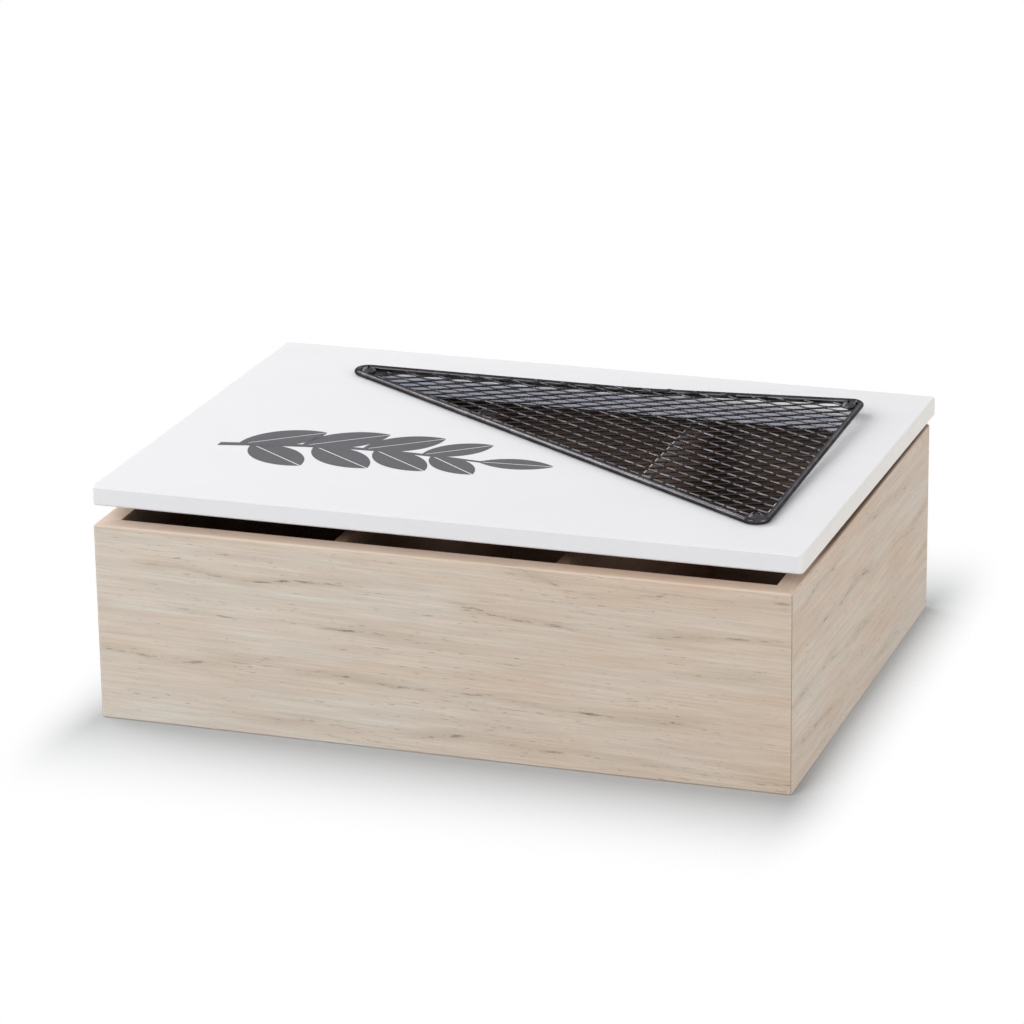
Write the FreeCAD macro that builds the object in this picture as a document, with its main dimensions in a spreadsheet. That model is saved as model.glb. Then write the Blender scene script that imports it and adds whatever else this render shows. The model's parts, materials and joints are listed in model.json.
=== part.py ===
import FreeCAD, Part
import math
import os
import Sketcher
from FreeCAD import Placement, Rotation, Vector

# A small wooden box for tea bags. Four mitred boards stand round a base panel and two
# dividers, and a painted lid swings on two butt hinges at the back. The lid has a
# three-cornered window, covered by expanded metal in a frame of bent round wire.
# Millimetres, +Z up, +X to the right, the front at -Y. The origin is the middle of the
# box's footprint.

doc = FreeCAD.newDocument("TeaBox")
sizes = doc.addObject("Spreadsheet::Sheet", "Sizes")

DIMENSIONS = (
    # The box
    ("box_width", 240.0),
    ("box_depth", 184.0),
    ("box_height", 68.5),
    ("board_thick", 7.3),
    ("corner_round", 1.0),
    ("arris", 0.5),
    ("base_thick", 4.0),
    ("base_rebate", 3.0),
    ("base_play", 0.15),
    ("divider_thick", 4.0),
    ("divider_left_x", -35.5),
    ("divider_right_x", 41.0),
    # The hinges
    ("hinge_from_middle", 78.0),
    ("hinge_length", 25.0),
    ("leaf_width", 7.6),
    ("leaf_thick", 1.0),
    ("barrel_radius", 2.0),
    ("barrel_behind", 0.2),
    ("middle_knuckle", 9.0),
    ("knuckle_play", 0.2),
    ("pin_radius", 0.9),
    ("pin_play", 0.05),
    # The lid
    ("lid_thick", 6.5),
    ("lid_overhang", 2.2),
    ("lid_back_inset", 1.0),
    ("lid_front_inset", 4.0),
    ("lid_tilt", 0.42),
    ("lid_arris", 0.5),
    ("lid_corner_round", 2.0),
    # The window, measured in from the edges of the lid
    ("window_from_back", 29.5),
    ("window_from_right", 22.2),
    ("window_from_left", 43.6),
    ("window_from_front", 27.5),
    ("window_left_round", 1.5),
    ("window_back_round", 10.0),
    ("window_front_round", 6.0),
    # The wire frame, measured out from the sides and corners of the window
    ("wire_radius", 1.1),
    ("bend_radius", 4.0),
    ("wire_past_back", 2.9),
    ("wire_past_right", 2.6),
    ("wire_past_left", 13.4),
    ("wire_past_front", 5.9),
    ("spring_up", 2.9),
    ("spring_along_back", 80.0),
    ("spring_along_right", 114.0),
    ("spring_ease", 8.0),
    ("tab_thick", 0.8),
    ("tab_above_lid", 0.2),
    ("tab_hole_radius", 1.3),
    ("tab_reach_left", 21.0),
    ("tab_reach_back", 10.0),
    ("tab_reach_front", 13.5),
    # The expanded metal
    ("mesh_thick", 0.8),
    ("mesh_above_lid", 0.35),
    ("mesh_gap", 0.15),
    ("mesh_border", 0.9),
    ("mesh_long_pitch", 10.6),
    ("mesh_short_pitch", 6.3),
    ("mesh_long_opening", 8.3),
    ("mesh_short_opening", 4.9),
    ("mesh_least_opening", 11.0),
)

for row, (alias, number) in enumerate(DIMENSIONS, start=1):
    sizes.set("A%d" % row, alias)
    sizes.set("B%d" % row, str(number))
    sizes.setAlias("B%d" % row, alias)
doc.recompute()


def size(name):
    return float(getattr(sizes, name))


def value(expression):
    """What an expression over the sheet comes to, as a number."""
    return float(sizes.evalExpression(expression.replace("Sizes.", "")))


# ---------------------------------------------------------------- shared modelling steps

def new_body(label, place=("0", "0", "0"), axis=Vector(0, 0, 1), angle="0"):
    """An empty body whose place is bound to the sheet."""
    body = doc.addObject("PartDesign::Body", label)
    body.Label = label
    body.Placement = Placement(Vector(0, 0, 0), Rotation(axis, 1.0))
    body.setExpression("Placement.Rotation.Angle", angle)
    for letter, expression in zip("xyz", place):
        body.setExpression("Placement.Base." + letter, expression)
    return body


def new_sketch(body, name, plane, lift="0"):
    """A sketch on one of the body's own origin planes, moved along its normal by lift."""
    sketch = body.newObject("Sketcher::SketchObject", name)
    origin_plane = next(f for f in body.Origin.OriginFeatures if f.Role == plane)
    sketch.AttachmentSupport = [(origin_plane, "")]
    sketch.MapMode = "FlatFace"
    sketch.setExpression("AttachmentOffset.Base.z", lift)
    return sketch


def hold_point(sketch, line, end, x, y):
    """Fix one end of a sketch line at two distances from the sketch's origin."""
    for kind, expression in (("DistanceX", x), ("DistanceY", y)):
        index = sketch.addConstraint(
            Sketcher.Constraint(kind, -1, 1, line, end, value(expression)))
        name = "%s_%d_%d" % (kind, line, end)
        sketch.renameConstraint(index, name)
        sketch.setExpression("Constraints." + name, expression)


def outline(sketch, corners):
    """A closed outline, counterclockwise. Each corner is (x, y) or (x, y, radius), and a
    radius makes the stretch that starts there a quarter-like arc that bulges outwards."""
    points = [Vector(value(c[0]), value(c[1]), 0) for c in corners]
    count = len(corners)
    for number, corner in enumerate(corners):
        start, end = points[number], points[(number + 1) % count]
        if len(corner) == 2:
            sketch.addGeometry(Part.LineSegment(start, end))
            continue
        radius = value(corner[2])
        half = (end - start) * 0.5
        outward = Vector(half.y, -half.x, 0).normalize()
        sagitta = radius - math.sqrt(radius ** 2 - half.Length ** 2)
        sketch.addGeometry(Part.Arc(start, start + half + outward * sagitta, end))
    for number, corner in enumerate(corners):
        following = (number + 1) % count
        sketch.addConstraint(Sketcher.Constraint("Coincident", number, 2, following, 1))
        hold_point(sketch, number, 1, corner[0], corner[1])
    for number, corner in enumerate(corners):
        if len(corner) == 3:
            index = sketch.addConstraint(
                Sketcher.Constraint("Radius", number, value(corner[2])))
            sketch.renameConstraint(index, "Radius_%d" % number)
            sketch.setExpression("Constraints.Radius_%d" % number, corner[2])


def box_outline(sketch, low_x, low_y, high_x, high_y):
    outline(sketch, ((low_x, low_y), (high_x, low_y), (high_x, high_y), (low_x, high_y)))


def circle(sketch, x, y, radius):
    number = sketch.addGeometry(
        Part.Circle(Vector(value(x), value(y), 0), Vector(0, 0, 1), value(radius)))
    hold_point(sketch, number, 3, x, y)
    index = sketch.addConstraint(Sketcher.Constraint("Radius", number, value(radius)))
    sketch.renameConstraint(index, "Radius_%d" % number)
    sketch.setExpression("Constraints.Radius_%d" % number, radius)


def swept(body, kind, sketch, name, length, both_ways=False):
    """A pad or pocket of the sketch, one way or evenly to both sides."""
    feature = body.newObject("PartDesign::" + kind, name)
    feature.Profile = sketch
    feature.Type = "Length"
    feature.SideType = "Symmetric" if both_ways else "One side"
    feature.setExpression("Length", length)
    body.Tip = feature
    doc.recompute()
    return feature


def dressed(body, base, kind, name, amount, wanted):
    """Fillet or chamfer the edges of base whose middle point passes the test."""
    chosen = []
    for number, edge in enumerate(base.Shape.Edges, start=1):
        middle = edge.valueAt((edge.FirstParameter + edge.LastParameter) / 2)
        if wanted(middle, edge):
            chosen.append("Edge%d" % number)
    feature = body.newObject("PartDesign::" + kind, name)
    feature.Base = (base, chosen)
    feature.setExpression("Radius" if kind == "Fillet" else "Size", amount)
    body.Tip = feature
    doc.recompute()
    return feature


# ---------------------------------------------------------------- the four mitred boards

def mitred_board(label, length, place, turn):
    """A board that lies along X with its outer face at y = 0 and a mitre at each end. The
    box's upright corners are eased, so each board carries half of that round."""
    body = new_body(label, place, angle=turn)
    profile = new_sketch(body, label + "_profile", "XY_Plane")
    half = length + " / 2"
    ease = "Sizes.corner_round"
    meet = "(1 - cos(45)) * Sizes.corner_round"
    thick = "Sizes.board_thick"
    outline(profile, (
        ("-%s + %s" % (half, ease), "0"),
        ("%s - %s" % (half, ease), "0", ease),
        ("%s - %s" % (half, meet), meet),
        ("%s - %s" % (half, thick), thick),
        ("-%s + %s" % (half, thick), thick),
        ("-%s + %s" % (half, meet), meet, ease),
    ))
    board = swept(body, "Pad", profile, label + "_board", "Sizes.box_height")
    rebate = new_sketch(body, label + "_rebate_profile", "YZ_Plane")
    box_outline(rebate, thick + " - Sizes.base_rebate", "-1",
                thick + " + 1", "Sizes.base_thick")
    swept(body, "Pocket", rebate, label + "_rebate", length, both_ways=True)
    eased = size("corner_round")
    top = size("box_height")

    def outer_arris(middle, edge):
        at_an_end = abs(middle.z - top) < 0.01 or abs(middle.z) < 0.01
        return at_an_end and middle.y < eased * 0.29 and edge.Length > eased / 2

    def inner_arris(middle, edge):
        return abs(middle.z - top) < 0.01 and abs(middle.y - size("board_thick")) < 0.01

    outer = dressed(body, body.Tip, "Chamfer", label + "_outer_arris",
                    "Sizes.arris", outer_arris)
    dressed(body, outer, "Chamfer", label + "_inner_arris", "Sizes.arris / 2", inner_arris)
    return body


def walls():
    width, depth = "Sizes.box_width", "Sizes.box_depth"
    return [
        mitred_board("front_board", width, ("0", "-%s / 2" % depth, "0"), "0"),
        mitred_board("right_board", depth, ("%s / 2" % width, "0", "0"), "90"),
        mitred_board("back_board", width, ("0", "%s / 2" % depth, "0"), "180"),
        mitred_board("left_board", depth, ("-%s / 2" % width, "0", "0"), "270"),
    ]


def base_panel():
    """The floor of the box: a thin panel let into the boards from below, flush with their
    undersides."""
    body = new_body("base_panel")
    profile = new_sketch(body, "base_profile", "XY_Plane")
    edge = "Sizes.board_thick - Sizes.base_rebate + Sizes.base_play"
    half_x = "(Sizes.box_width / 2 - (%s))" % edge
    half_y = "(Sizes.box_depth / 2 - (%s))" % edge
    box_outline(profile, "-" + half_x, "-" + half_y, half_x, half_y)
    swept(body, "Pad", profile, "base_board", "Sizes.base_thick")
    return body


def divider(label, middle_x):
    """A thin board from the front board to the back one, level with the rim."""
    body = new_body(label, (middle_x, "0", "0"))
    profile = new_sketch(body, label + "_profile", "XY_Plane", "Sizes.base_thick")
    half_thick = "Sizes.divider_thick / 2"
    inside = "(Sizes.box_depth / 2 - Sizes.board_thick)"
    box_outline(profile, "-" + half_thick, "-" + inside, half_thick, inside)
    board = swept(body, "Pad", profile, label + "_board",
                  "Sizes.box_height - Sizes.base_thick")
    top = size("box_height")

    def top_arris(middle, edge):
        return abs(middle.z - top) < 0.01 and abs(middle.y) < 0.01

    dressed(body, board, "Chamfer", label + "_arris", "Sizes.arris / 2", top_arris)
    return body


# ---------------------------------------------------------------- the hinges

# Everything on the lid is drawn from the line of the hinge pins: the lid's underside is
# one barrel radius above it, and the whole lid is then turned up by the small angle at
# which the closed hinges hold it.
PIN_Y = "(Sizes.box_depth / 2 + Sizes.barrel_behind + Sizes.barrel_radius)"
PIN_Z = "(Sizes.box_height + Sizes.barrel_radius)"
HINGE_SIDES = (("left", "-Sizes.hinge_from_middle"), ("right", "Sizes.hinge_from_middle"))


def hinge_leaf(label, side_x, upper):
    """One leaf of a butt hinge, a plate that ends in a solid barrel as long as the leaf."""
    tilt = "Sizes.lid_tilt" if upper else "0"
    body = new_body(label, (side_x, PIN_Y, PIN_Z), Vector(-1, 0, 0), tilt)
    leaf = new_sketch(body, label + "_leaf_profile", "YZ_Plane")
    low, high = "-Sizes.barrel_radius", "-Sizes.barrel_radius + Sizes.leaf_thick"
    if upper:
        low, high = "Sizes.barrel_radius - Sizes.leaf_thick", "Sizes.barrel_radius"
    box_outline(leaf, "-Sizes.leaf_width", low, "0", high)
    swept(body, "Pad", leaf, label + "_leaf", "Sizes.hinge_length", both_ways=True)
    barrel = new_sketch(body, label + "_barrel_profile", "YZ_Plane")
    circle(barrel, "0", "0", "Sizes.barrel_radius")
    swept(body, "Pad", barrel, label + "_barrel", "Sizes.hinge_length", both_ways=True)
    return body


def knuckle_room(body, label, start, end):
    """Cut the barrel away between two distances along it, for the other leaf's knuckle."""
    reach = "(Sizes.barrel_radius + Sizes.knuckle_play)"
    room = new_sketch(body, label + "_profile", "XY_Plane", "-" + reach)
    box_outline(room, start, "-" + reach, end, reach)
    pocket = swept(body, "Pocket", room, label, reach + " * 2")
    pocket.Reversed = True
    doc.recompute()


def lower_leaf(label, side_x):
    """The leaf on the rim of the back board, with the two outer knuckles and the pin that
    is riveted into them."""
    body = hinge_leaf(label, side_x, upper=False)
    half = "(Sizes.middle_knuckle / 2 + Sizes.knuckle_play)"
    knuckle_room(body, label + "_room", "-" + half, half)
    pin = new_sketch(body, label + "_pin_profile", "YZ_Plane")
    circle(pin, "0", "0", "Sizes.pin_radius")
    swept(body, "Pad", pin, label + "_pin", "Sizes.hinge_length", both_ways=True)
    return body


def upper_leaf(label, side_x):
    """The leaf under the lid, with the middle knuckle, which turns on the pin."""
    body = hinge_leaf(label, side_x, upper=True)
    near, far = "(Sizes.middle_knuckle / 2)", "(Sizes.hinge_length / 2 + 1)"
    knuckle_room(body, label + "_room_right", near, far)
    knuckle_room(body, label + "_room_left", "-" + far, "-" + near)
    bore = new_sketch(body, label + "_bore_profile", "YZ_Plane")
    circle(bore, "0", "0", "Sizes.pin_radius + Sizes.pin_play")
    swept(body, "Pocket", bore, label + "_bore", "Sizes.middle_knuckle * 2", both_ways=True)
    return body


def hinges():
    leaves = []
    for side, side_x in HINGE_SIDES:
        leaves.append(lower_leaf("hinge_%s_lower" % side, side_x))
        leaves.append(upper_leaf("hinge_%s_upper" % side, side_x))
    return leaves


# ---------------------------------------------------------------- the lid board

LID_BACK = "(-Sizes.lid_back_inset - Sizes.barrel_behind - Sizes.barrel_radius)"
LID_FRONT = "(%s + Sizes.lid_back_inset + Sizes.lid_front_inset - Sizes.box_depth)" % LID_BACK
LID_RIGHT = "(Sizes.box_width / 2 + Sizes.lid_overhang)"
WINDOW_CORNERS = {
    "left": ("-%s + Sizes.window_from_left" % LID_RIGHT,
             "%s - Sizes.window_from_back" % LID_BACK),
    "back": ("%s - Sizes.window_from_right" % LID_RIGHT,
             "%s - Sizes.window_from_back" % LID_BACK),
    "front": ("%s - Sizes.window_from_right" % LID_RIGHT,
              "%s + Sizes.window_from_front" % LID_FRONT),
}


def lid_panel():
    """The painted board with its three-cornered window."""
    body = new_body("lid_panel", ("0", PIN_Y, PIN_Z), Vector(-1, 0, 0), "Sizes.lid_tilt")
    profile = new_sketch(body, "lid_profile", "XY_Plane", "Sizes.barrel_radius")
    box_outline(profile, "-" + LID_RIGHT, LID_FRONT, LID_RIGHT, LID_BACK)
    board = swept(body, "Pad", profile, "lid_board", "Sizes.lid_thick")
    upright = dressed(body, board, "Fillet", "lid_corner_rounds", "Sizes.lid_corner_round",
                      lambda middle, edge: abs(edge.tangentAt(edge.FirstParameter).z) > 0.9)
    dressed(body, upright, "Chamfer", "lid_arrises", "Sizes.lid_arris",
            lambda middle, edge: abs(edge.tangentAt(edge.FirstParameter).z) < 0.9)
    window = new_sketch(body, "window_profile", "XY_Plane", "Sizes.barrel_radius - 1")
    outline(window, [WINDOW_CORNERS[corner] for corner in ("front", "back", "left")])
    feature = swept(body, "Pocket", window, "window", "Sizes.lid_thick + 2")
    feature.Reversed = True
    doc.recompute()
    for corner, (x, y) in WINDOW_CORNERS.items():
        here = Vector(value(x), value(y), 0)

        def at_corner(middle, edge):
            return math.hypot(middle.x - here.x, middle.y - here.y) < 0.05

        feature = dressed(body, feature, "Fillet", "window_%s_corner" % corner,
                          "Sizes.window_%s_round" % corner, at_corner)
    return body


# ---------------------------------------------------------------- the wire frame

LID_TOP = size("barrel_radius") + size("lid_thick")


def lid_place():
    """Where the things on the lid stand: at the pins' line, turned by the lid's tilt."""
    return Placement(Vector(0, value(PIN_Y), value(PIN_Z)),
                     Rotation(Vector(-1, 0, 0), size("lid_tilt")))


def wire_corners():
    """The corners of the wire's centre line before they are bent round. The wire lies on
    the lid, but its back right corner has sprung up."""
    level = LID_TOP + size("wire_radius")
    corner = {name: Vector(value(x), value(y), level)
              for name, (x, y) in WINDOW_CORNERS.items()}
    back_y = corner["back"].y + size("wire_past_back")
    right_x = corner["back"].x + size("wire_past_right")
    return {
        "left": Vector(corner["left"].x - size("wire_past_left"), back_y, level),
        "back": Vector(right_x, back_y, level + size("spring_up")),
        "front": Vector(right_x, corner["front"].y - size("wire_past_front"), level),
    }


def bend(before, corner, after, reach):
    """The arc that leaves one run and meets the next at reach from their corner."""
    start = corner + (before - corner).normalize() * reach
    end = corner + (after - corner).normalize() * reach
    half_turn = (corner - start).getAngle(end - corner) / 2
    radius = reach / math.tan(half_turn)
    to_centre = ((start + end) * 0.5 - corner).normalize()
    centre = corner + to_centre * (radius / math.cos(half_turn))
    return start, centre - to_centre * radius, end


def bend_reach(before, corner, after):
    """How far from its corner a bend of the frame's bend radius starts."""
    turn = (corner - before).getAngle(after - corner)
    return size("bend_radius") * math.tan(turn / 2)


def wire_length(points, reaches):
    """A wire along the points, with a tangent arc at each inner one, made solid."""
    edges = []
    here = points[0]
    for number, reach in enumerate(reaches, start=1):
        start, middle, end = bend(points[number - 1], points[number], points[number + 1],
                                  reach)
        edges.append(Part.LineSegment(here, start).toShape())
        edges.append(Part.Arc(start, middle, end).toShape())
        here = end
    edges.append(Part.LineSegment(here, points[-1]).toShape())
    path = Part.Wire(edges)
    section = Part.Wire(Part.makeCircle(size("wire_radius"), points[0],
                                        points[1] - points[0]))
    return path.makePipeShell([section], True, False)


def corner_tab(before, corner, after, reach):
    """A small plate welded under a bend, with the hole for the screw that holds it."""
    start, middle, end = bend(before, corner, after, bend_reach(before, corner, after))
    far_start = corner + (before - corner).normalize() * reach
    far_end = corner + (after - corner).normalize() * reach
    rim = Part.Wire([
        Part.Arc(start, middle, end).toShape(),
        Part.LineSegment(end, far_end).toShape(),
        Part.LineSegment(far_end, far_start).toShape(),
        Part.LineSegment(far_start, start).toShape(),
    ])
    normal = (start - corner).cross(end - corner).normalize()
    if normal.z < 0:
        normal = normal * -1
    plate = Part.Face(rim).extrude(normal * size("tab_thick"))
    plate.translate(normal * (size("tab_above_lid") - size("wire_radius")))
    centre = screw_place(before, corner, after)
    hole = Part.makeCylinder(size("tab_hole_radius"), size("wire_radius") * 4,
                             centre - normal * (size("wire_radius") * 2), normal)
    return plate.cut(hole)


def screw_place(before, corner, after):
    """The middle of a bend, where the screw's head just fits between the runs."""
    start, middle, end = bend(before, corner, after, bend_reach(before, corner, after))
    inward = ((start + end) * 0.5 - corner).normalize()
    return middle + inward * size("bend_radius")


def wire_frame():
    """One bent wire, butt welded at the middle of two sides, with its three tabs."""
    corner = wire_corners()
    left, back, front = corner["left"], corner["back"], corner["front"]
    rise_back = Vector(back.x - size("spring_along_back"), back.y, left.z)
    rise_right = Vector(back.x, back.y - size("spring_along_right"), front.z)
    weld_long = (left + front) * 0.5
    weld_back = (left + rise_back) * 0.5
    ease = size("spring_ease")
    left_half = wire_length(
        [weld_long, left, weld_back],
        [bend_reach(weld_long, left, weld_back)])
    right_half = wire_length(
        [weld_back, rise_back, back, rise_right, front, weld_long],
        [ease, bend_reach(rise_back, back, rise_right), ease,
         bend_reach(rise_right, front, weld_long)])
    frame = left_half.fuse([
        right_half,
        corner_tab(weld_long, left, weld_back, size("tab_reach_left")),
        corner_tab(rise_back, back, rise_right, size("tab_reach_back")),
        corner_tab(rise_right, front, weld_long, size("tab_reach_front")),
    ]).removeSplitter()
    piece = doc.addObject("Part::Feature", "wire_frame")
    piece.Label = "wire_frame"
    piece.Shape = frame
    piece.Placement = lid_place()
    return piece


# ---------------------------------------------------------------- the expanded metal

def flat(point):
    return Vector(point.x, point.y, 0)


def moved_in(start, end, distance):
    """A line moved to its left by distance, as a point and a direction."""
    along = (end - start).normalize()
    return start + Vector(-along.y, along.x, 0) * distance, along


def crossing(first, second):
    """Where two lines, each a point and a direction, cross."""
    (point, along), (other, across) = first, second
    gap = other - point
    share = (gap.x * across.y - gap.y * across.x) / (along.x * across.y - along.y * across.x)
    return point + along * share


def clipped(corners, lines):
    """The part of a convex outline that lies to the left of every line."""
    for point, along in lines:
        kept = []
        for number, here in enumerate(corners):
            following = corners[(number + 1) % len(corners)]
            side_here = along.x * (here.y - point.y) - along.y * (here.x - point.x)
            side_next = along.x * (following.y - point.y) - along.y * (following.x - point.x)
            if side_here >= 0:
                kept.append(here)
            if side_here * side_next < 0:
                kept.append(here + (following - here) * (side_here / (side_here - side_next)))
        corners = kept
    return corners


def outline_area(corners):
    following = corners[1:] + corners[:1]
    return sum(a.x * b.y - b.x * a.y for a, b in zip(corners, following)) / 2


def mesh_sides():
    """The plate's sides, counterclockwise: three along the wire and three across the
    corners, clear of the tabs."""
    corner = wire_corners()
    left, back, front = (flat(corner[name]) for name in ("left", "back", "front"))
    inset = size("wire_radius") + size("mesh_gap")
    sides = []
    for start, end, reach in ((left, front, size("tab_reach_front")),
                              (front, back, size("tab_reach_back")),
                              (back, left, size("tab_reach_left"))):
        sides.append(moved_in(start, end, inset))
        after = {id(front): back, id(back): left, id(left): front}[id(end)]
        near = end + (start - end).normalize() * reach
        far = end + (after - end).normalize() * reach
        sides.append(moved_in(near, far, size("mesh_gap")))
    return sides


def mesh_panel():
    """A plate of flattened expanded metal: rows of lozenge openings, each row half an
    opening along from the next, inside a plain border that is welded to the wire."""
    sides = mesh_sides()
    count = len(sides)
    rim = [crossing(sides[number - 1], sides[number]) for number in range(count)]
    inner = [(point + Vector(-along.y, along.x, 0) * size("mesh_border"), along)
             for point, along in sides]
    long_pitch, short_pitch = size("mesh_long_pitch"), size("mesh_short_pitch")
    half_long, half_short = size("mesh_long_opening") / 2, size("mesh_short_opening") / 2
    low_x, high_x = min(p.x for p in rim), max(p.x for p in rim)
    low_y, high_y = min(p.y for p in rim), max(p.y for p in rim)
    openings = []
    for row in range(int((high_y - low_y) / short_pitch * 2) + 2):
        middle_y = high_y - row * short_pitch / 2
        first_x = low_x + (row % 2) * long_pitch / 2
        for step in range(int((high_x - low_x) / long_pitch) + 2):
            middle_x = first_x + step * long_pitch
            lozenge = [Vector(middle_x + half_long, middle_y, 0),
                       Vector(middle_x, middle_y + half_short, 0),
                       Vector(middle_x - half_long, middle_y, 0),
                       Vector(middle_x, middle_y - half_short, 0)]
            opening = clipped(lozenge, inner)
            if len(opening) > 2 and outline_area(opening) > size("mesh_least_opening"):
                openings.append(opening)
    edge = Part.makePolygon(rim + rim[:1])
    holes = [Part.makePolygon(opening + opening[:1]) for opening in openings]
    face = Part.makeFace([edge] + holes, "Part::FaceMakerBullseye")
    piece = doc.addObject("Part::Feature", "mesh_panel")
    piece.Label = "mesh_panel"
    piece.Shape = face.extrude(Vector(0, 0, size("mesh_thick")))
    piece.Placement = lid_place() * mesh_lean()
    return piece


def mesh_lean():
    """The plate is turned up about its long side, as far as the wire's corner has sprung."""
    corner = wire_corners()
    left, back, front = (flat(corner[name]) for name in ("left", "back", "front"))
    long_side = (front - left).normalize()
    across = (back - left) - long_side * (back - left).dot(long_side)
    lean = math.degrees(math.atan(size("spring_up") / across.Length))
    raised = Placement(Vector(0, 0, LID_TOP + size("mesh_above_lid")), Rotation())
    pivot = Vector(left.x, left.y, LID_TOP + size("mesh_above_lid"))
    return Placement(Vector(0, 0, 0), Rotation(long_side, lean), pivot) * raised


# ---------------------------------------------------------------- build, check and write

pieces = walls()
pieces.append(base_panel())
pieces.append(divider("divider_left", "Sizes.divider_left_x"))
pieces.append(divider("divider_right", "Sizes.divider_right_x"))
pieces += hinges()
pieces += [lid_panel(), wire_frame(), mesh_panel()]
doc.recompute()

for item in doc.Objects:
    if "Invalid" in item.State or "Error" in item.State:
        raise RuntimeError("%s failed: %s" % (item.Label, item.State))
for piece in pieces:
    if piece.Shape.isNull() or not piece.Shape.isValid() or len(piece.Shape.Solids) != 1:
        raise RuntimeError("%s is not one valid solid" % piece.Label)

os.makedirs("parts", exist_ok=True)
for piece in pieces:
    piece.Shape.exportStep("parts/%s.step" % piece.Label)
    print("%-20s %9.1f mm3" % (piece.Label, piece.Shape.Volume))
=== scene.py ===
import json
import math

import bmesh
import bpy
from mathutils import Matrix, Vector


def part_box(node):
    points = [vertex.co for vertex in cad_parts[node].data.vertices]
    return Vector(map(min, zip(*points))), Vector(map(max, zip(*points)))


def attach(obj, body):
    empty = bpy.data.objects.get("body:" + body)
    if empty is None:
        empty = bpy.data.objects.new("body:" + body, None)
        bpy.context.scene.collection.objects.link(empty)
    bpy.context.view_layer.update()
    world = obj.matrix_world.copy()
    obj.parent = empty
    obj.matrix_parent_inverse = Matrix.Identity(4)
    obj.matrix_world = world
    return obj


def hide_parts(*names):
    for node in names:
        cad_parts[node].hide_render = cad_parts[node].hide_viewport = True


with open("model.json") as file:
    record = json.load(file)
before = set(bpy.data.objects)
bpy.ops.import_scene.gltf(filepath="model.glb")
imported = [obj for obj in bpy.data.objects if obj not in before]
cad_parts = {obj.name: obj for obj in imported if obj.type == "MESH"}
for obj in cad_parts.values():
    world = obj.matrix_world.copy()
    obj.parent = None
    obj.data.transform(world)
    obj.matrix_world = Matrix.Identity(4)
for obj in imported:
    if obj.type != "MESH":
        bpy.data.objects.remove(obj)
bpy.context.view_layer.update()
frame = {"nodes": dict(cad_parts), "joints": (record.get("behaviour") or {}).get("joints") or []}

# ------------------------------------------------------------------ the four boards
# The walls are planed boards of a pale, light wood with open pores, mitred and glued at
# the corners. They are limewashed outside and bare and faintly pink on the rim. Inside, and
# on the rim behind the front, the wood is painted darker as shade. The grain runs along each
# board.

MM = 0.001


def colour(red, green, blue):
    """A paint chart's 0 to 255 values as the linear colour that a shader takes."""
    def linear(value):
        value /= 255
        return value / 12.92 if value <= 0.04045 else ((value + 0.055) / 1.055) ** 2.4
    return (linear(red), linear(green), linear(blue), 1.0)


def node(tree, kind, inputs=None, **settings):
    """Add a node. An input is a plain value, or another node's output to link."""
    made = tree.nodes.new(kind)
    for name, setting in settings.items():
        setattr(made, name, setting)
    for socket, value in (inputs or {}).items():
        if isinstance(value, bpy.types.NodeSocket):
            tree.links.new(value, made.inputs[socket])
        else:
            made.inputs[socket].default_value = value
    return made


def maths(tree, operation, first, second=0.0, third=0.0, clamp=False):
    return node(tree, "ShaderNodeMath", {0: first, 1: second, 2: third},
                operation=operation, use_clamp=clamp).outputs[0]


def ramp_between(tree, value, low, high, from_value=0.0, to_value=1.0):
    """A smooth step from one value to another as the input goes from low to high."""
    return node(tree, "ShaderNodeMapRange",
                {"Value": value, "From Min": low, "From Max": high,
                 "To Min": from_value, "To Max": to_value},
                interpolation_type="SMOOTHSTEP").outputs["Result"]


def blend_colours(tree, factor, first, second, way="MIX"):
    made = node(tree, "ShaderNodeMix", data_type="RGBA", blend_type=way, clamp_factor=True)
    for socket, value in ((0, factor), (6, first), (7, second)):
        if isinstance(value, bpy.types.NodeSocket):
            tree.links.new(value, made.inputs[socket])
        else:
            made.inputs[socket].default_value = value
    return made.outputs[2]


def stretched_noise(tree, place, along, across, detail=3.0, roughness=0.55, shift=0.0):
    """Noise whose grains are so many millimetres long along X and so many across it."""
    scaled = node(tree, "ShaderNodeMapping",
                  {"Vector": place, "Location": (shift, shift * 0.7, shift * 1.3),
                   "Scale": (1 / along, 1 / across, 1 / across)})
    return node(tree, "ShaderNodeTexNoise",
                {"Vector": scaled.outputs[0], "Scale": 1.0, "Detail": detail,
                 "Roughness": roughness}).outputs["Fac"]


def parts_of(tree, vector):
    """The X, Y and Z of a vector."""
    split = node(tree, "ShaderNodeSeparateXYZ", {"Vector": vector})
    return split.outputs["X"], split.outputs["Y"], split.outputs["Z"]


def group_of(name, inputs, outputs):
    """An empty node group with its sockets, and its two end nodes."""
    group = bpy.data.node_groups.new(name, "ShaderNodeTree")
    for label, kind, value in inputs:
        socket = group.interface.new_socket(label, in_out="INPUT", socket_type=kind)
        socket.default_value = value
    for label, kind in outputs:
        group.interface.new_socket(label, in_out="OUTPUT", socket_type=kind)
    return group, group.nodes.new("NodeGroupInput"), group.nodes.new("NodeGroupOutput")


LIMEWASHED, RUBBED_THIN = colour(222, 214, 202), colour(216, 193, 172)
RING_HALO, RING_LINE = colour(172, 152, 128), colour(118, 100, 82)
OPEN_PORE = colour(140, 120, 100)
RING_SPACING = 15.5      # from one year ring to the next, in millimetres
RING_WANDER = 22.0       # how far a ring strays along the board, in millimetres


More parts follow.
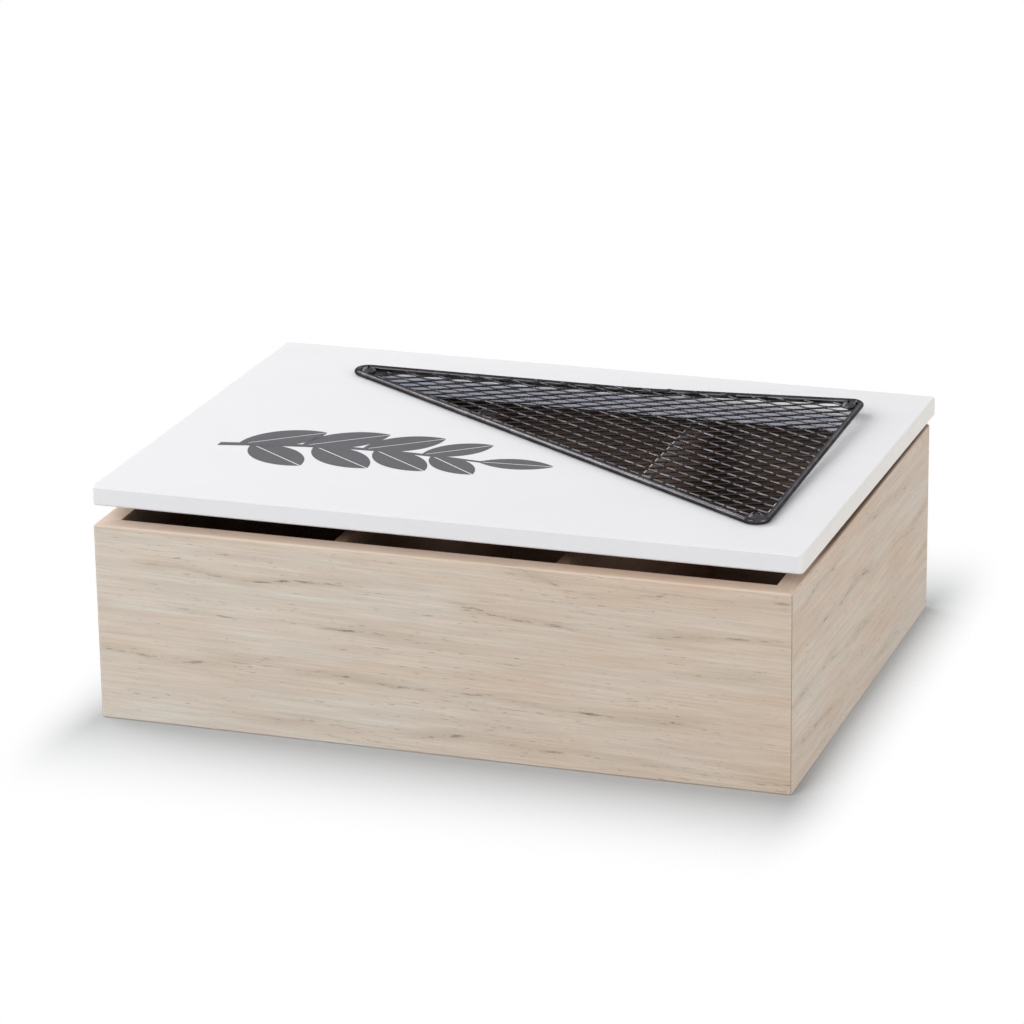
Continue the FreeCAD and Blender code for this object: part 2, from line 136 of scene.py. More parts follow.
def pale_wood_group():
    """Limewashed open-pored wood. Its place is in millimetres with the grain along X."""
    group, given, made = group_of(
        "pale_wood",
        (("Place", "NodeSocketVector", (0, 0, 0)), ("Warmth", "NodeSocketFloat", 0.5)),
        (("Color", "NodeSocketColor"), ("Roughness", "NodeSocketFloat"),
         ("Height", "NodeSocketFloat")))
    place = given.outputs["Place"]
    # tone: greyer where the limewash is thick, pinker where it is rubbed thin
    clouds = stretched_noise(group, place, 70, 26, 2.0, shift=3.1)
    streaks = stretched_noise(group, place, 60, 3.2, 4.0, shift=8.3)
    tone = maths(group, "ADD", given.outputs["Warmth"],
                 maths(group, "MULTIPLY", maths(group, "SUBTRACT", clouds, 0.5), 1.5))
    tone = maths(group, "ADD", tone,
                 maths(group, "MULTIPLY", maths(group, "SUBTRACT", streaks, 0.5), 1.3),
                 clamp=True)
    washed = blend_colours(group, tone, LIMEWASHED, RUBBED_THIN)
    # fibres: fine light and dark lines
    fibres = stretched_noise(group, place, 26, 0.75, 5.0, 0.65, shift=1.7)
    fibre_tone = ramp_between(group, fibres, 0.36, 0.66, 0.91, 1.045)
    # year rings: a few wandering brown lines, broken into short rows of open pores
    wander = stretched_noise(group, place, 90, 60, 2.0, shift=5.9)
    _, up, through = parts_of(group, place)
    ring = maths(group, "MULTIPLY_ADD", wander, RING_WANDER, up)
    ring = maths(group, "MULTIPLY_ADD", through, 0.45, ring)
    ragged = stretched_noise(group, place, 5, 1.0, 3.0, shift=2.2)
    ring = maths(group, "MULTIPLY_ADD", ragged, 1.6, ring)
    spaced = maths(group, "FRACT", maths(group, "DIVIDE", ring, RING_SPACING))
    off_line = maths(group, "ABSOLUTE", maths(group, "SUBTRACT", spaced, 0.5))
    off_line = maths(group, "MULTIPLY", off_line, RING_SPACING)
    line = ramp_between(group, off_line, 0.15, 0.65, 1.0, 0.0)
    halo = ramp_between(group, off_line, 0.3, 3.2, 1.0, 0.0)
    broken = stretched_noise(group, place, 9, 1.4, 4.0, 0.7, shift=6.4)
    line = maths(group, "MULTIPLY", line, ramp_between(group, broken, 0.50, 0.64))
    presence = stretched_noise(group, place, 55, 9, 1.0, shift=9.6)
    line = maths(group, "MULTIPLY", line, ramp_between(group, presence, 0.38, 0.55))
    halo = maths(group, "MULTIPLY", halo, ramp_between(group, presence, 0.35, 0.6))
    # pores: short dark scratches, strewn thinly and more of them beside the rings
    scratch = stretched_noise(group, place, 4.2, 0.42, 2.0, 0.5, shift=4.4)
    strewn = stretched_noise(group, place, 30, 6, 2.0, shift=7.7)
    threshold = maths(group, "MULTIPLY_ADD", strewn, -0.18, 0.755)
    pore = maths(group, "MULTIPLY",
                 maths(group, "SUBTRACT", scratch, threshold), 14.0, clamp=True)
    painted = blend_colours(group, 1.0, washed, fibre_tone, "MULTIPLY")
    for mask, strength, tint in ((halo, 0.22, RING_HALO), (line, 0.72, RING_LINE),
                                 (pore, 0.6, OPEN_PORE)):
        painted = blend_colours(group, maths(group, "MULTIPLY", mask, strength),
                                painted, tint)
    rough = maths(group, "MULTIPLY_ADD", fibres, 0.18, 0.55)
    # the fibres stand up, and the rings' rows of pores and the single pores lie deeper
    height = maths(group, "MULTIPLY_ADD", line, -0.5,
                   maths(group, "MULTIPLY", fibres, 0.35))
    height = maths(group, "MULTIPLY_ADD", pore, -0.4, height)
    group.links.new(painted, made.inputs["Color"])
    group.links.new(rough, made.inputs["Roughness"])
    group.links.new(height, made.inputs["Height"])
    return group


def new_material(name):
    """A material with its Principled shader, ready for colours and bumps."""
    material = bpy.data.materials.new(name)
    material.use_nodes = True
    return material, material.node_tree, material.node_tree.nodes["Principled BSDF"]


def surface(tree, shader, tint, rough, height, strength, relief):
    """Give a shader its colour, its roughness and a bump whose relief is in millimetres."""
    bump = node(tree, "ShaderNodeBump",
                {"Height": height, "Strength": strength, "Distance": relief * MM})
    tree.links.new(tint, shader.inputs["Base Color"])
    tree.links.new(rough, shader.inputs["Roughness"])
    tree.links.new(bump.outputs["Normal"], shader.inputs["Normal"])


def dress(piece, material):
    """Put one material over a whole piece."""
    piece.data.materials.clear()
    piece.data.materials.append(material)


pale_wood = pale_wood_group()
board_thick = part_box("front_board")[1].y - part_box("front_board")[0].y
half_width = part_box("right_board")[1].x
half_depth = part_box("back_board")[1].y
rim_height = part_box("front_board")[1].z
BARE_RIM, MITRE_LINE = colour(238, 208, 186), colour(120, 96, 74)
INSIDE_PAINTED_SHADE = colour(164, 147, 139)     # painted shade inside the box: multiplies the colour of the wood under it
RIM_SHADE_SPAN = (14 * MM, 60 * MM)       # behind the front, where the rim's painted shade comes in
GRAIN_SLANT = math.radians(1.2)


def laid_wood(tree, axes, shift, warmth, slant=0.0):
    """The wood, laid so that the axes run along its grain, across it and through it."""
    turned = node(tree, "ShaderNodeCombineXYZ", dict(zip("XYZ", axes)))
    grain_place = node(tree, "ShaderNodeMapping",
                       {"Vector": turned.outputs[0], "Scale": (1 / MM,) * 3,
                        "Location": shift, "Rotation": (0, 0, slant)})
    return node(tree, "ShaderNodeGroup",
                {"Place": grain_place.outputs[0], "Warmth": warmth},
                node_tree=pale_wood).outputs


def board_material(name, along_x, shift, warmth, warm_run):
    """Wood for one wall. Its colours lie by place: face, rim, inside and mitre."""
    material, tree, shader = new_material(name)
    x, y, z = parts_of(tree, node(tree, "ShaderNodeTexCoord").outputs["Object"])
    along, through = (x, y) if along_x else (y, x)
    warm = maths(tree, "MULTIPLY_ADD", along, warm_run, warmth, clamp=True)
    wood = laid_wood(tree, (along, z, through), shift, warm, GRAIN_SLANT)
    # the rim has no limewash
    on_rim = ramp_between(tree, z, rim_height - 0.6 * MM, rim_height - 0.1 * MM)
    bare = blend_colours(tree, 0.45, wood["Color"], BARE_RIM)
    painted = blend_colours(tree, on_rim, wood["Color"], bare)
    # painted shade: darker as inside the box, and also on the rim from a little behind the
    # front, under the lid
    painted_shade = blend_colours(tree, 1.0, wood["Color"], INSIDE_PAINTED_SHADE, "MULTIPLY")
    unshaded_to, shaded_from = RIM_SHADE_SPAN
    rim_shaded = ramp_between(tree, y, unshaded_to - half_depth, shaded_from - half_depth)
    painted = blend_colours(tree, maths(tree, "MULTIPLY", on_rim, rim_shaded), painted, painted_shade)
    # painted shade: the inside is darkened
    from_middle_x = maths(tree, "ABSOLUTE", x)
    from_middle_y = maths(tree, "ABSOLUTE", y)
    inner_x, inner_y = (
        ramp_between(tree, from_middle, half - board_thick + 0.1 * MM,
                     half - board_thick + 0.4 * MM, 1.0, 0.0)
        for from_middle, half in ((from_middle_x, half_width), (from_middle_y, half_depth)))
    painted = blend_colours(tree, maths(tree, "MULTIPLY", inner_x, inner_y), painted, painted_shade)
    # the mitre shows as a hair line down the corner and across the rim
    slope = maths(tree, "SUBTRACT", from_middle_x, from_middle_y)
    off_mitre = maths(tree, "ABSOLUTE",
                      maths(tree, "SUBTRACT", slope, half_width - half_depth))
    mitre = ramp_between(tree, off_mitre, 0.05 * MM, 0.4 * MM, 0.6, 0.0)
    mitre = maths(tree, "MULTIPLY", mitre, maths(tree, "MULTIPLY_ADD", on_rim, -0.75, 1.0))
    painted = blend_colours(tree, mitre, painted, MITRE_LINE)
    surface(tree, shader, painted, wood["Roughness"], wood["Height"], 0.5, 0.12)
    shader.inputs["Specular IOR Level"].default_value = 0.3
    return material


BOARDS = (
    # node, grain along X, grain's place, warmth in the middle, change of warmth per metre
    ("front_board", True, (0, 0, 0), 0.50, 2.6),
    ("right_board", False, (340, 40, 0), 0.62, 0.0),
    ("back_board", True, (810, 90, 0), 0.45, 0.0),
    ("left_board", False, (1270, 20, 0), 0.40, 0.0),
)
for name, along_x, shift, warmth, warm_run in BOARDS:
    dress(frame["nodes"][name],
          board_material("wood_" + name, along_x, shift, warmth, warm_run))

# ------------------------------------------------------------------ base and dividers
# The floor is a thin panel let in from below, and the two dividers are thin boards glued
# between front and back. All are the same wood as the walls, darkened by painted shade, and
# the dividers' tops are painted darker still as shade, less so near the front, with a painted
# highlight along their left arris.

# painted shade on the dividers' tops, and a lighter one near the front
DIVIDER_TOP_SHADE, DIVIDER_TOP_FRONT_SHADE = colour(84, 70, 62), colour(122, 98, 82)
# painted highlight along the dividers' left arris
ARRIS_HIGHLIGHT = colour(236, 226, 214)
TOP_SHADE_DEEPENS = (20 * MM, 50 * MM)       # behind the front, where the tops' painted shade deepens


def inner_material(name, along_x, shift, arris_x=None):
    """Wood darkened by painted shade. A divider gives the place of its left arris, and the base
    none.
    """
    material, tree, shader = new_material(name)
    x, y, z = parts_of(tree, node(tree, "ShaderNodeTexCoord").outputs["Object"])
    wood = laid_wood(tree, (x, y, z) if along_x else (y, z, x), shift, 0.8)
    # painted shade: all of it darkened as inside the box
    painted = blend_colours(tree, 1.0, wood["Color"], INSIDE_PAINTED_SHADE, "MULTIPLY")
    if arris_x is not None:
        # painted shade on the top, lighter near the front
        on_top = ramp_between(tree, z, rim_height - 1.4 * MM, rim_height - 0.2 * MM)
        less_shade_until, full_shade_from = TOP_SHADE_DEEPENS
        wear_and_less_shade = ramp_between(tree, y, less_shade_until - half_depth, full_shade_from - half_depth,
                              1.0, 0.0)
        top = blend_colours(tree, wear_and_less_shade, DIVIDER_TOP_SHADE, DIVIDER_TOP_FRONT_SHADE)
        painted = blend_colours(tree, on_top, painted, top)
        # painted highlight: a pale line along the left arris, behind the front
        beside = maths(tree, "ABSOLUTE", maths(tree, "SUBTRACT", x, arris_x))
        wear_and_highlight = maths(tree, "MULTIPLY", on_top,
                     ramp_between(tree, beside, 0.4 * MM, 0.7 * MM, 1.0, 0.0))
        wear_and_highlight = maths(tree, "MULTIPLY", wear_and_highlight, maths(tree, "SUBTRACT", 1.0, wear_and_less_shade))
        painted = blend_colours(tree, wear_and_highlight, painted, ARRIS_HIGHLIGHT)
    else:
        # the base's underside has no painted shade
        under = ramp_between(tree, z, 0.1 * MM, 0.6 * MM, 1.0, 0.0)
        painted = blend_colours(tree, under, painted, wood["Color"])
    surface(tree, shader, painted, wood["Roughness"], wood["Height"], 0.4, 0.1)
    shader.inputs["Specular IOR Level"].default_value = 0.25
    return material


dress(frame["nodes"]["base_panel"], inner_material("wood_base", True, (60, 400, 0)))
for name, shift in (("divider_left", (500, 30, 0)), ("divider_right", (930, 70, 0))):
    dress(frame["nodes"][name],
          inner_material("wood_" + name, False, shift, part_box(name)[0].x))

# ------------------------------------------------------------------ the hinges
# Two small butt hinges of pressed and zinc-plated steel, with their barrels behind the
# box. The leaves lie on the back board's rim and under the lid.

ZINC_BRIGHT, ZINC_DULLED = colour(186, 186, 184), colour(160, 158, 150)


def place_in_mm(tree):
    """The place on a piece, in millimetres."""
    place = node(tree, "ShaderNodeTexCoord").outputs["Object"]
    return node(tree, "ShaderNodeMapping",
                {"Vector": place, "Scale": (1 / MM,) * 3}).outputs[0]


def plated_steel():
    """Zinc plate, drawn along X and dulled in patches."""
    material, tree, shader = new_material("plated_steel")
    place = place_in_mm(tree)
    drawn = stretched_noise(tree, place, 14, 0.25, 3.0, shift=1.0)
    dulled = stretched_noise(tree, place, 5, 4, 2.0, shift=2.0)
    tint = blend_colours(tree, dulled, ZINC_BRIGHT, ZINC_DULLED)
    rough = maths(tree, "MULTIPLY_ADD", dulled, 0.2, 0.26)
    surface(tree, shader, tint, rough, drawn, 0.25, 0.02)
    shader.inputs["Metallic"].default_value = 1.0
    return material


hinge_steel = plated_steel()
for side in ("left", "right"):
    for leaf in ("lower", "upper"):
        dress(frame["nodes"]["hinge_%s_%s" % (side, leaf)], hinge_steel)

# ------------------------------------------------------------------ the lid
# One painted board with a triangular window sawn through it. The paint is a satin white,
# rolled on and thin in a few streaks. Its two ends are painted warmer, as warm light from the
# wood below, and the window's sawn sides cooler, as blue shade. The lid stands a little open
# on its hinges.

joint = frame["joints"][0]
LID_TILT = math.radians(0.42)
lid_place = (Matrix.Translation(Vector(joint["pos_m"]))
             @ Matrix.Rotation(-LID_TILT, 4, "X") @ Matrix.Scale(MM, 4))
# lengths on the lid are in millimetres, and heights are above the line of the hinge pins
LID_TOP = 8.5
WINDOW_WITHIN_X, WINDOW_WITHIN_Y = 112.0, 78.0       # from the box's middle, in millimetres
WHITE, WHITE_SHADE, THIN_STREAK = (
    colour(242, 241, 243), colour(237, 237, 239), colour(226, 226, 228))
# painted blue shade for the window's sawn sides, and painted warm light for the lid's ends
COOL_SHADE_WHITE, WARM_LIGHT_WHITE = colour(232, 236, 252), colour(246, 242, 236)


def white_paint():
    """Rolled paint, with painted warm light on the lid's ends and painted blue shade on the
    window's sides, set by place.
    """
    material, tree, shader = new_material("white_paint")
    place = place_in_mm(tree)
    rolled = stretched_noise(tree, place, 1.6, 1.3, 3.0, shift=1.0)
    brushed = stretched_noise(tree, place, 80, 1.1, 4.0, shift=4.0)
    clouds = stretched_noise(tree, place, 45, 40, 2.0, shift=7.0)
    tint = blend_colours(tree, clouds, WHITE, WHITE_SHADE)
    thin = ramp_between(tree, brushed, 0.62, 0.8)
    tint = blend_colours(tree, maths(tree, "MULTIPLY", thin, 0.25), tint, THIN_STREAK)
    x, y, _ = parts_of(tree, place)
    facing_x, _, facing_z = parts_of(
        tree, node(tree, "ShaderNodeTexCoord").outputs["Normal"])
    within_x, within_y = (
        ramp_between(tree, maths(tree, "ABSOLUTE", off), limit, limit + 1.0, 1.0, 0.0)
        for off, limit in ((x, WINDOW_WITHIN_X), (y, WINDOW_WITHIN_Y)))
    within = maths(tree, "MULTIPLY", within_x, within_y)
    # painted shade: the sawn sides of the window are a cooler white, as blue shade
    upright = ramp_between(tree, maths(tree, "ABSOLUTE", facing_z), 0.3, 0.7, 1.0, 0.0)
    tint = blend_colours(tree, maths(tree, "MULTIPLY", upright, within), tint, COOL_SHADE_WHITE)
    # painted light: the two ends are a warmer white, as warm light thrown up from the wood
    end_warm_light = ramp_between(tree, maths(tree, "ABSOLUTE", facing_x), 0.5, 0.8)
    end_warm_light = maths(tree, "MULTIPLY", end_warm_light, maths(tree, "SUBTRACT", 1.0, within))
    tint = blend_colours(tree, end_warm_light, tint, WARM_LIGHT_WHITE)
    rough = maths(tree, "MULTIPLY_ADD", rolled, 0.16, 0.46)
    relief = maths(tree, "MULTIPLY_ADD", brushed, 0.5, rolled)
    surface(tree, shader, tint, rough, relief, 0.35, 0.03)
    shader.inputs["Specular IOR Level"].default_value = 0.22
    return material


dress(frame["nodes"]["lid_panel"], white_paint())

# ------------------------------------------------------------------ the printed motif
# A sprig of tea, with its leaves in pairs and a narrow one at the tip, screen printed in
# grey ink on the lid to the left of the window. The ink lies as a thin film on the paint.

INK_THICK = 0.05
INK_SUNK = 0.01      # into the paint, so that no gap shows under the film
STEM_LIFT = 0.008    # the stem is printed over the leaves
VEIN = 0.5           # the bare line down a leaf's middle
STEM_LEFT, STEM_RIGHT, STEM_MIDDLE = -99.0, -6.0, -121.2
STEM_DROP, STEM_RISE = -5.0, 1.0      # of the stem's two ends from its middle line
STEM_BOW, STEM_WIDE = 5.0, 3.4


def verts_of(geom):
    return [part for part in geom if isinstance(part, bmesh.types.BMVert)]


def faces_of(geom):
    return [part for part in geom if isinstance(part, bmesh.types.BMFace)]


def leaf(sheet, base, angle, length, width):
    """A leaf with a bare vein: two slices of a disc, back to back, wide in the middle."""
    for side in (1, -1):
        half = width / 2 - VEIN / 2
        radius = (length ** 2 / 4 + half ** 2) / (2 * half)
        disc = bmesh.ops.create_circle(sheet, cap_ends=True, segments=160, radius=radius)
        whole = disc["verts"][0].link_faces[0]
        cut = bmesh.ops.bisect_plane(sheet, geom=whole.verts[:] + whole.edges[:] + [whole],
                                     plane_co=(0, radius - half, 0), plane_no=(0, 1, 0),
                                     clear_inner=True)
        slice_verts = faces_of(cut["geom"])[0].verts[:]
        place = (Matrix.Translation((base[0], base[1], 0))
                 @ Matrix.Rotation(angle, 4, "Z")
                 @ Matrix.Diagonal((1, side, 1, 1))
                 @ Matrix.Translation((length / 2, half - radius + VEIN / 2, 0)))
        bmesh.ops.transform(sheet, matrix=place, verts=slice_verts)


def on_stem(along):
    """The place on the lid of a point at a share of the stem's length."""
    return (STEM_LEFT + (STEM_RIGHT - STEM_LEFT) * along,
            STEM_MIDDLE + STEM_DROP + (STEM_RISE - STEM_DROP) * along
            + STEM_BOW * math.sin(math.pi * along))


def stem(sheet):
    """A thin bowed strip that tapers to its tip."""
    strip = bmesh.ops.create_grid(sheet, x_segments=24, y_segments=1, size=0.5)["verts"]
    for vert in strip:
        along = vert.co.x + 0.5
        x, y = on_stem(along)
        vert.co = Vector((x, y + vert.co.y * STEM_WIDE * (1 - 0.55 * along), STEM_LIFT))


def finished(sheet, name, place=Matrix.Identity(4)):
    """Close a bmesh into a new object whose place is in its mesh."""
    bmesh.ops.transform(sheet, matrix=place, verts=sheet.verts)
    bmesh.ops.recalc_face_normals(sheet, faces=sheet.faces)
    mesh = bpy.data.meshes.new(name)
    sheet.to_mesh(mesh)
    sheet.free()
    piece = bpy.data.objects.new(name, mesh)
    bpy.context.scene.collection.objects.link(piece)
    return piece


def grey_ink():
    """Flat ink, uneven in broad clouds, with paint showing through in fine specks."""
    material, tree, shader = new_material("grey_ink")
    place = place_in_mm(tree)
    speckle = stretched_noise(tree, place, 0.5, 0.5, 2.0, shift=2.0)
    clouds = stretched_noise(tree, place, 20, 20, 2.0, shift=5.0)
    tint = blend_colours(tree, clouds, colour(90, 90, 94), colour(100, 100, 104))
    tint = blend_colours(tree, ramp_between(tree, speckle, 0.68, 0.78, 0.0, 0.35), tint,
                         colour(190, 190, 192))
    tree.links.new(tint, shader.inputs["Base Color"])
    tree.links.new(maths(tree, "MULTIPLY_ADD", speckle, 0.2, 0.5),
                   shader.inputs["Roughness"])
    shader.inputs["Specular IOR Level"].default_value = 0.15
    return material


LEAVES = (
    # share of the stem's length, angle from it in degrees, length, width
    (0.07, 40, 32, 16.5), (0.12, -36, 30, 16.0),
    (0.30, 39, 32, 16.5), (0.35, -35, 31, 16.0),
    (0.53, 39, 30, 15.5), (0.58, -36, 29, 15.0),
    (0.76, 40, 26, 13.0), (0.80, -38, 25, 12.5),
    (0.985, 4, 26, 11.0),
)
print_sheet = bmesh.new()
stem(print_sheet)
for along, angle, length, width in LEAVES:
    leaf(print_sheet, on_stem(along), math.radians(angle), length, width)
film = bmesh.ops.extrude_face_region(print_sheet, geom=print_sheet.faces[:])
bmesh.ops.translate(print_sheet, vec=(0, 0, INK_THICK), verts=verts_of(film["geom"]))
motif = finished(print_sheet, "lid_print",
                 lid_place @ Matrix.Translation((0, 0, LID_TOP - INK_SUNK)))
dress(motif, grey_ink())
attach(motif, "lid")

# ------------------------------------------------------------------ the wire frame
# One length of round steel wire, bent round three corners with a screw tab in each, and
# lacquered a satin black. Its back right corner has sprung up from the lid.


def black_lacquer_group():
    """Thin black lacquer that keeps the steel's sheen, and is greyer where it is rubbed."""
    group, given, made = group_of(
        "black_lacquer",
        (("Place", "NodeSocketVector", (0, 0, 0)), ("Grey", "NodeSocketFloat", 0.0)),
        (("Color", "NodeSocketColor"), ("Roughness", "NodeSocketFloat"),
         ("Height", "NodeSocketFloat")))
    place = given.outputs["Place"]
    grit = stretched_noise(group, place, 0.35, 0.35, 3.0, shift=2.0)
    wear_and_less_shade = stretched_noise(group, place, 7, 5, 3.0, shift=5.0)
    wear_and_highlight = ramp_between(group, wear_and_less_shade, 0.45, 0.75)
    wear_and_highlight = maths(group, "ADD", wear_and_highlight, given.outputs["Grey"], clamp=True)
    tint = blend_colours(group, wear_and_highlight, colour(38, 37, 39), colour(72, 70, 72))
    rough = maths(group, "MULTIPLY_ADD", grit, 0.12,
                  maths(group, "MULTIPLY_ADD", wear_and_highlight, 0.08, 0.1))
    group.links.new(tint, made.inputs["Color"])
    group.links.new(rough, made.inputs["Roughness"])
    group.links.new(grit, made.inputs["Height"])
    return group


black_lacquer = black_lacquer_group()


def lacquered(name, grey, edge_shine, duller, grit):
    """The lacquer on one piece: how grey, how bright at a glance, how dull, how gritty."""
    material, tree, shader = new_material(name)
    coat = node(tree, "ShaderNodeGroup", {"Place": place_in_mm(tree), "Grey": grey},
                node_tree=black_lacquer).outputs
    rough = maths(tree, "ADD", coat["Roughness"], duller)
    surface(tree, shader, coat["Color"], rough, coat["Height"], grit, 0.02)
    shader.inputs["Metallic"].default_value = 1.0
    shader.inputs["Specular Tint"].default_value = (edge_shine,) * 3 + (1,)
    return material


dress(frame["nodes"]["wire_frame"], lacquered("lacquer_wire", 0.5, 0.5, 0.0, 0.12))

# ------------------------------------------------------------------ the expanded metal
# Steel sheet, slit in staggered rows and pulled open into lozenges, so that every strand
# is turned part way on edge. It is cut to the triangle, with its corners cut off clear of
# the tabs, and welded inside the wire frame, so it leans with the sprung corner.

MESH_LEVEL = LID_TOP + 0.75
LONG_PITCH, SHORT_PITCH = 10.7, 6.3
STRAND_WIDE, STRAND_THICK = 0.54, 0.36
STRAND_TURN = math.radians(36)
BOND_LONG = 1.2
SHEET_TURN = math.radians(-3)     # the sheet lies a little askew in its frame
SHEET_SHIFT = Vector((1.6, -1.6, 0))
CORNER_LEFT = Vector((-92.0, -29.8, MESH_LEVEL))
CORNER_BACK = Vector((102.6, -29.8, MESH_LEVEL))
CORNER_FRONT = Vector((102.6, -160.6, MESH_LEVEL))
TAB_REACH = (21.0, 13.5, 10.0)    # what is cut off at the left, front and back corners
TAB_CLEAR = 0.1
WIRE_INSET = 0.7
SPRUNG_UP = 2.9


def all_of(sheet):
    return sheet.verts[:] + sheet.edges[:] + sheet.faces[:]


def fill_holes(sheet):
    open_edges = [edge for edge in sheet.edges if edge.is_boundary]
    bmesh.ops.holes_fill(sheet, edges=open_edges, sides=0)


def strand(sheet, start, periods):
    """One zigzag strand: a turned strip drawn on from bond to bond by straight legs."""
    strip = bmesh.ops.create_grid(sheet, x_segments=1, y_segments=1, size=0.5)["verts"]
    face = strip[0].link_faces[0]
    upright = Matrix.Rotation(math.radians(90), 4, "Z") @ Matrix.Rotation(
        math.radians(90), 4, "X")
    profile = (Matrix.Rotation(STRAND_TURN, 4, "X") @ upright
               @ Matrix.Diagonal((STRAND_WIDE, STRAND_THICK, 1, 1)))
    half_plan = STRAND_WIDE * math.cos(STRAND_TURN) / 2
    half_lift = STRAND_WIDE * math.sin(STRAND_TURN) / 2
    bmesh.ops.transform(sheet, verts=strip, matrix=Matrix.Translation(
        Vector(start) + Vector((-BOND_LONG / 2, half_plan, half_lift))) @ profile)
    leg = LONG_PITCH / 2 - BOND_LONG
    rise = Vector((0, SHORT_PITCH / 2 - 2 * half_plan, -2 * half_lift))
    bond = Vector((BOND_LONG, 0, 0))
    moves = [bond, Vector((leg, 0, 0)) + rise, bond, Vector((leg, 0, 0)) - rise]
    for move in moves * periods:
        drawn = bmesh.ops.extrude_face_region(sheet, geom=[face])
        old, face = face, faces_of(drawn["geom"])[0]
        if old.is_valid:
            sheet.faces.remove(old)
        bmesh.ops.translate(sheet, verts=face.verts[:], vec=move)


def cut_along(sheet, start, end, inset):
    """Cut away what lies to the right of a line that is moved to its left by inset."""
    along = (end - start).normalized()
    inward = Vector((-along.y, along.x, 0))
    bmesh.ops.bisect_plane(sheet, geom=all_of(sheet), plane_co=start + inward * inset,
                           plane_no=-inward, clear_outer=True)
    fill_holes(sheet)


# a sheet larger than the triangle on all sides, whose every other row is half a pitch along
SPARE_ROWS, SPARE_PITCHES, SPARE_BEHIND = 8, 3, 10
mesh_sheet = bmesh.new()
rows = int((CORNER_BACK.y - CORNER_FRONT.y) / (SHORT_PITCH / 2)) + SPARE_ROWS
across = int((CORNER_BACK.x - CORNER_LEFT.x) / LONG_PITCH) + SPARE_PITCHES
strand(mesh_sheet, (CORNER_LEFT.x - LONG_PITCH, CORNER_BACK.y + SPARE_BEHIND, 0), across)
first = all_of(mesh_sheet)
for row in range(1, rows):
    copied = bmesh.ops.duplicate(mesh_sheet, geom=first)["geom"]
    step = (LONG_PITCH / 2 * (row % 2), -SHORT_PITCH / 2 * row, 0)
    bmesh.ops.translate(mesh_sheet, vec=step, verts=verts_of(copied))
bmesh.ops.rotate(mesh_sheet, verts=mesh_sheet.verts, cent=CORNER_LEFT,
                 matrix=Matrix.Rotation(SHEET_TURN, 3, "Z"))
bmesh.ops.translate(mesh_sheet, verts=mesh_sheet.verts, vec=SHEET_SHIFT)
corners = (CORNER_LEFT, CORNER_FRONT, CORNER_BACK)
for number, (corner, reach) in enumerate(zip(corners, TAB_REACH)):
    after, before = corners[(number + 1) % 3], corners[number - 1]
    cut_along(mesh_sheet, corner, after, WIRE_INSET)
    cut_along(mesh_sheet, corner + (before - corner).normalized() * reach,
              corner + (after - corner).normalized() * reach, TAB_CLEAR)
long_side = (CORNER_FRONT - CORNER_LEFT).normalized()
to_back = CORNER_BACK - CORNER_LEFT
width_across = (to_back - long_side * to_back.dot(long_side)).length
lean = (Matrix.Translation(CORNER_LEFT)
        @ Matrix.Rotation(math.atan(SPRUNG_UP / width_across), 4, long_side)
        @ Matrix.Translation((-CORNER_LEFT.x, -CORNER_LEFT.y, 0)))
expanded = finished(mesh_sheet, "expanded_metal", lid_place @ lean)
dress(expanded, lacquered("lacquer_mesh", 0.3, 0.35, 0.05, 0.12))
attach(expanded, "lid")
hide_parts("mesh_panel")

# ------------------------------------------------------------------ the frame's screws
# Three black pan-head wood screws with crossed slots hold the frame's tabs to the lid.
# The back right one stands with its tab, proud of the lid.

HEAD_RADIUS, HEAD_HIGH = 2.75, 1.7
HEAD_ROUND = 1.35        # radius of the dome before it is flattened, in head radii
SKIRT_HIGH = 0.35        # the straight side under a dome
SLOT_WIDE, SLOT_LONG = 0.62, 1.15     # in millimetres, and in head radii
SLOT_DEEP, CUTTER_HIGH = 0.65, 2.0


def screw_head(name, radius, height):
    """A domed disc with a crossed slot cut into its top."""
    head = bmesh.new()
    ball = radius * HEAD_ROUND
    bmesh.ops.create_uvsphere(head, u_segments=40, v_segments=24, radius=ball)
    flat = math.sqrt(ball ** 2 - radius ** 2)
    squash = height / (ball - flat)
    bmesh.ops.bisect_plane(head, geom=all_of(head), plane_co=(0, 0, flat),
                           plane_no=(0, 0, -1), clear_outer=True)
    rim = [edge for edge in head.edges if edge.is_boundary]
    skirt = bmesh.ops.extrude_edge_only(head, edges=rim)
    bmesh.ops.translate(head, verts=verts_of(skirt["geom"]),
                        vec=(0, 0, -SKIRT_HIGH / squash))
    fill_holes(head)
    bmesh.ops.transform(head, verts=head.verts, matrix=Matrix.Diagonal((1, 1, squash, 1))
                        @ Matrix.Translation((0, 0, SKIRT_HIGH / squash - flat)))
    body = finished(head, name)
    cross = bmesh.new()
    cutter_middle = height - SLOT_DEEP + CUTTER_HIGH / 2
    slot_long = radius * SLOT_LONG
    for length, width in ((slot_long, SLOT_WIDE), (SLOT_WIDE, slot_long)):
        arm = bmesh.ops.create_cube(cross, size=1.0)["verts"]
        bmesh.ops.transform(cross, verts=arm,
                            matrix=Matrix.Translation((0, 0, cutter_middle))
                            @ Matrix.Diagonal((length, width, CUTTER_HIGH, 1)))
    cutter = finished(cross, name + "_cutter")
    cut = body.modifiers.new("slot", "BOOLEAN")
    cut.object = cutter
    cut.operation = "DIFFERENCE"
    cut.use_self = True
    bpy.context.view_layer.update()
    shaped = bpy.data.meshes.new_from_object(
        body.evaluated_get(bpy.context.evaluated_depsgraph_get()))
    body.modifiers.clear()
    body.data = shaped
    bpy.data.objects.remove(cutter)
    return body


